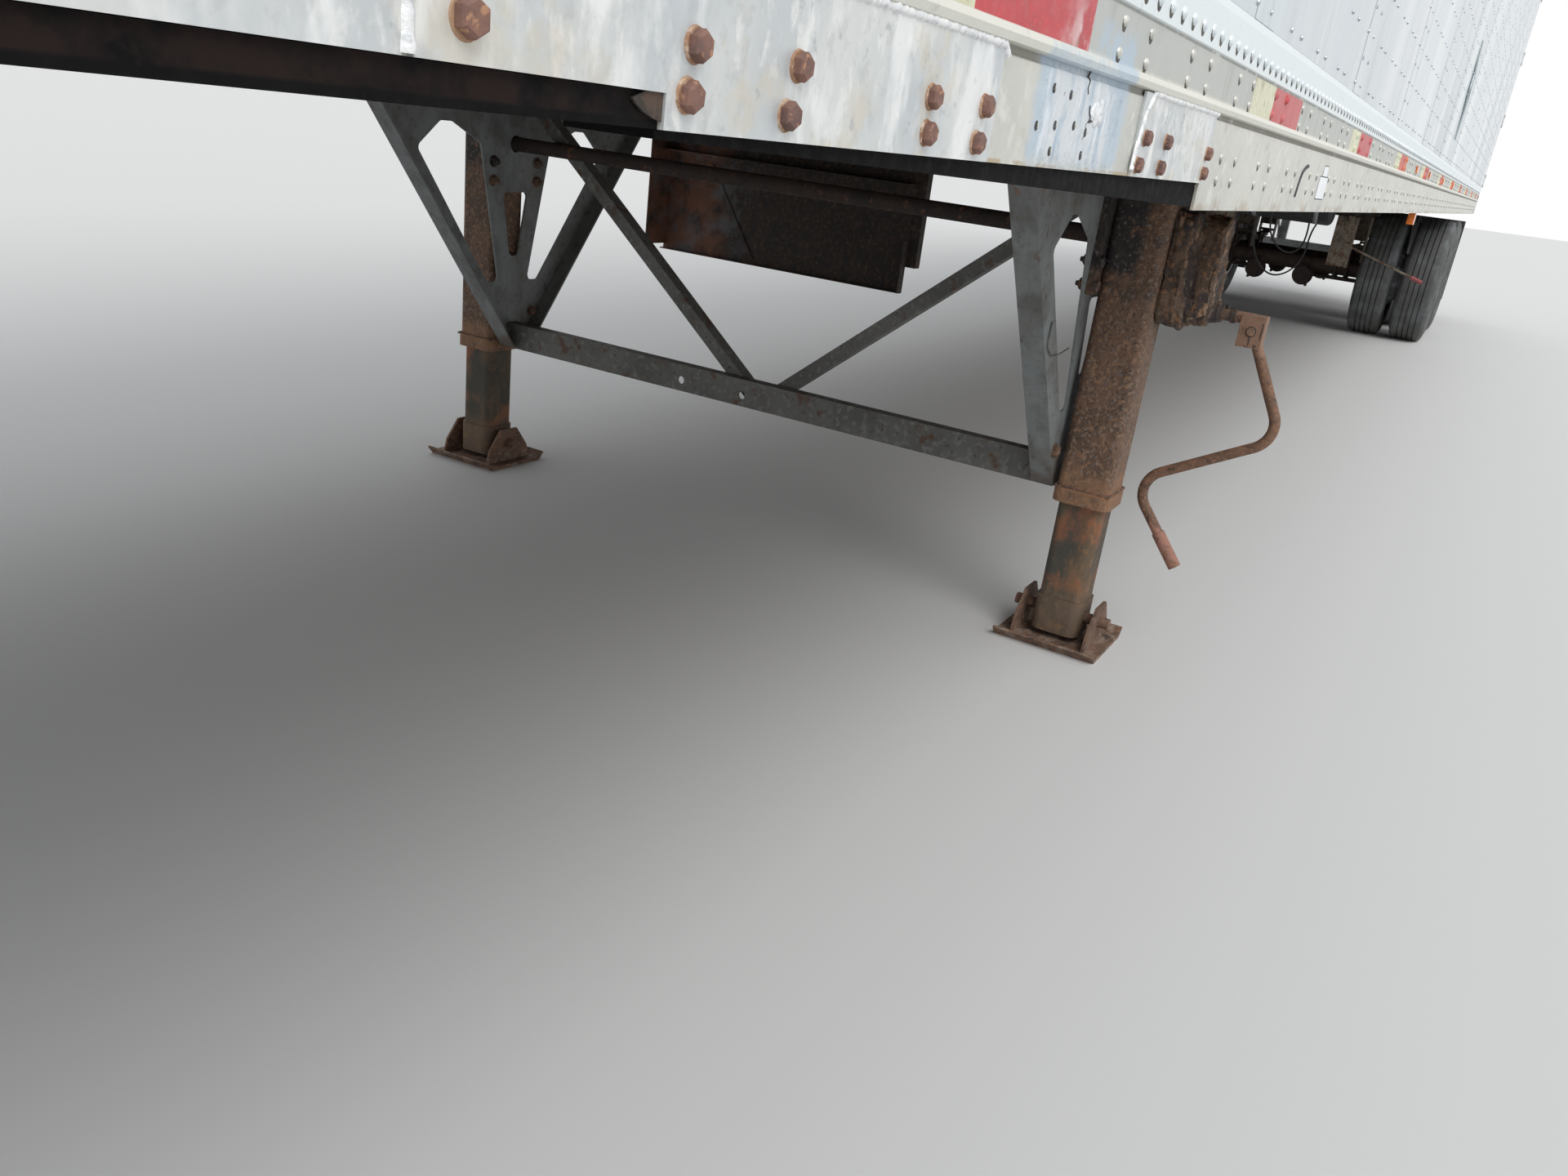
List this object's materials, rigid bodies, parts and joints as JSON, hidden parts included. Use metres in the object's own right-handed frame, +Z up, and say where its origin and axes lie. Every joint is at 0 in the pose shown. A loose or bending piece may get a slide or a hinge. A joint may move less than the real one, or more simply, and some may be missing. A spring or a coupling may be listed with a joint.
{
  "type": "semi trailer",
  "caption": "Tandem-axle dry van semi trailer, parked on its landing legs, with a repaired lower side rail, swing rear doors and a pin-located bogie.",
  "frame": {"origin": "on the ground under the middle of the trailer's length and width", "axes": "+X towards the nose, +Y to the trailer's left side, +Z up"},
  "size_m": [16.153, 2.6527, 4.112],
  "materials": {
    "bright_aluminium": "satin",
    "rail_aluminium": "satin",
    "steel_zinc": "satin",
    "black_paint": "satin",
    "grey_paint": "satin",
    "rusty_steel": "matt",
    "wheel_paint": "satin",
    "floor_wood": "matt",
    "white_panel": "satin",
    "tyre_rubber": "matt",
    "flap_rubber": "matt",
    "grip_red": "matt",
    "lens_amber": "gloss",
    "lens_red": "gloss",
    "hose_rubber": "matt"
  },
  "bodies": {
    "trailer": {"air_hose_long": "hose_rubber", "air_hose_short": "hose_rubber", "air_tank": "black_paint", "amber_lamps": "lens_amber", "axles": "black_paint", "body_rails": "black_paint", "bogie_frame": "black_paint", "brake_chambers": "black_paint", "corner_posts": "bright_aluminium", "door_hinges": "steel_zinc", "floor_beams": "steel_zinc", "floor_deck": "floor_wood", "front_wall": "bright_aluminium", "hanging_carrier": "rusty_steel", "hose_fittings": "steel_zinc", "kingpin": "steel_zinc", "leaf_springs": "black_paint", "leg_brace": "grey_paint", "leg_brackets": "grey_paint", "leg_crank": "grey_paint", "leg_cross_shaft": "grey_paint", "leg_feet": "rusty_steel", "leg_gearbox": "rusty_steel", "leg_housings": "rusty_steel", "leg_tubes": "rusty_steel", "mud_flap_arms": "black_paint", "mud_flaps": "flap_rubber", "nose_couplings": "black_paint", "pin_handle": "steel_zinc", "pin_handle_grip": "grip_red", "rail_repair_plates": "rail_aluminium", "rear_header": "rail_aluminium", "rear_posts": "rail_aluminium", "rear_sill": "rail_aluminium", "red_lamps": "lens_red", "roof": "bright_aluminium", "side_rail_left": "rail_aluminium", "side_rail_right": "rail_aluminium", "side_wall_left": "bright_aluminium", "side_wall_right": "bright_aluminium", "spring_hangers": "black_paint", "top_rails": "rail_aluminium", "underride_guard": "black_paint", "upper_coupler": "rusty_steel"},
    "wheels_front_left": {"wheel_front_left": "wheel_paint", "tyres_front_left": "tyre_rubber"},
    "wheels_front_right": {"wheel_front_right": "wheel_paint", "tyres_front_right": "tyre_rubber"},
    "wheels_rear_left": {"wheel_rear_left": "wheel_paint", "tyres_rear_left": "tyre_rubber"},
    "wheels_rear_right": {"wheel_rear_right": "wheel_paint", "tyres_rear_right": "tyre_rubber"},
    "door_left": {"door_left": "white_panel", "door_rods_left": "steel_zinc"},
    "door_right": {"door_right": "white_panel", "door_rods_right": "steel_zinc"}
  },
  "joints": [
    {"name": "wheels_front_left_spin", "type": "hinge", "parent": "trailer", "child": "wheels_front_left", "pos_m": [-4.61, 0.9765, 0.508], "axis": [0, 1, 0], "continuous": true},
    {"name": "wheels_front_right_spin", "type": "hinge", "parent": "trailer", "child": "wheels_front_right", "pos_m": [-4.61, -0.9765, 0.508], "axis": [0, 1, 0], "continuous": true},
    {"name": "wheels_rear_left_spin", "type": "hinge", "parent": "trailer", "child": "wheels_rear_left", "pos_m": [-5.855, 0.9765, 0.508], "axis": [0, 1, 0], "continuous": true},
    {"name": "wheels_rear_right_spin", "type": "hinge", "parent": "trailer", "child": "wheels_rear_right", "pos_m": [-5.855, -0.9765, 0.508], "axis": [0, 1, 0], "continuous": true},
    {"name": "door_left_swing", "type": "hinge", "parent": "trailer", "child": "door_left", "pos_m": [-8.063, 1.282, 2.62], "axis": [0, 0, -1], "range_deg": [0, 270]},
    {"name": "door_right_swing", "type": "hinge", "parent": "trailer", "child": "door_right", "pos_m": [-8.063, -1.282, 2.62], "axis": [0, 0, 1], "range_deg": [0, 270]}
  ]
}
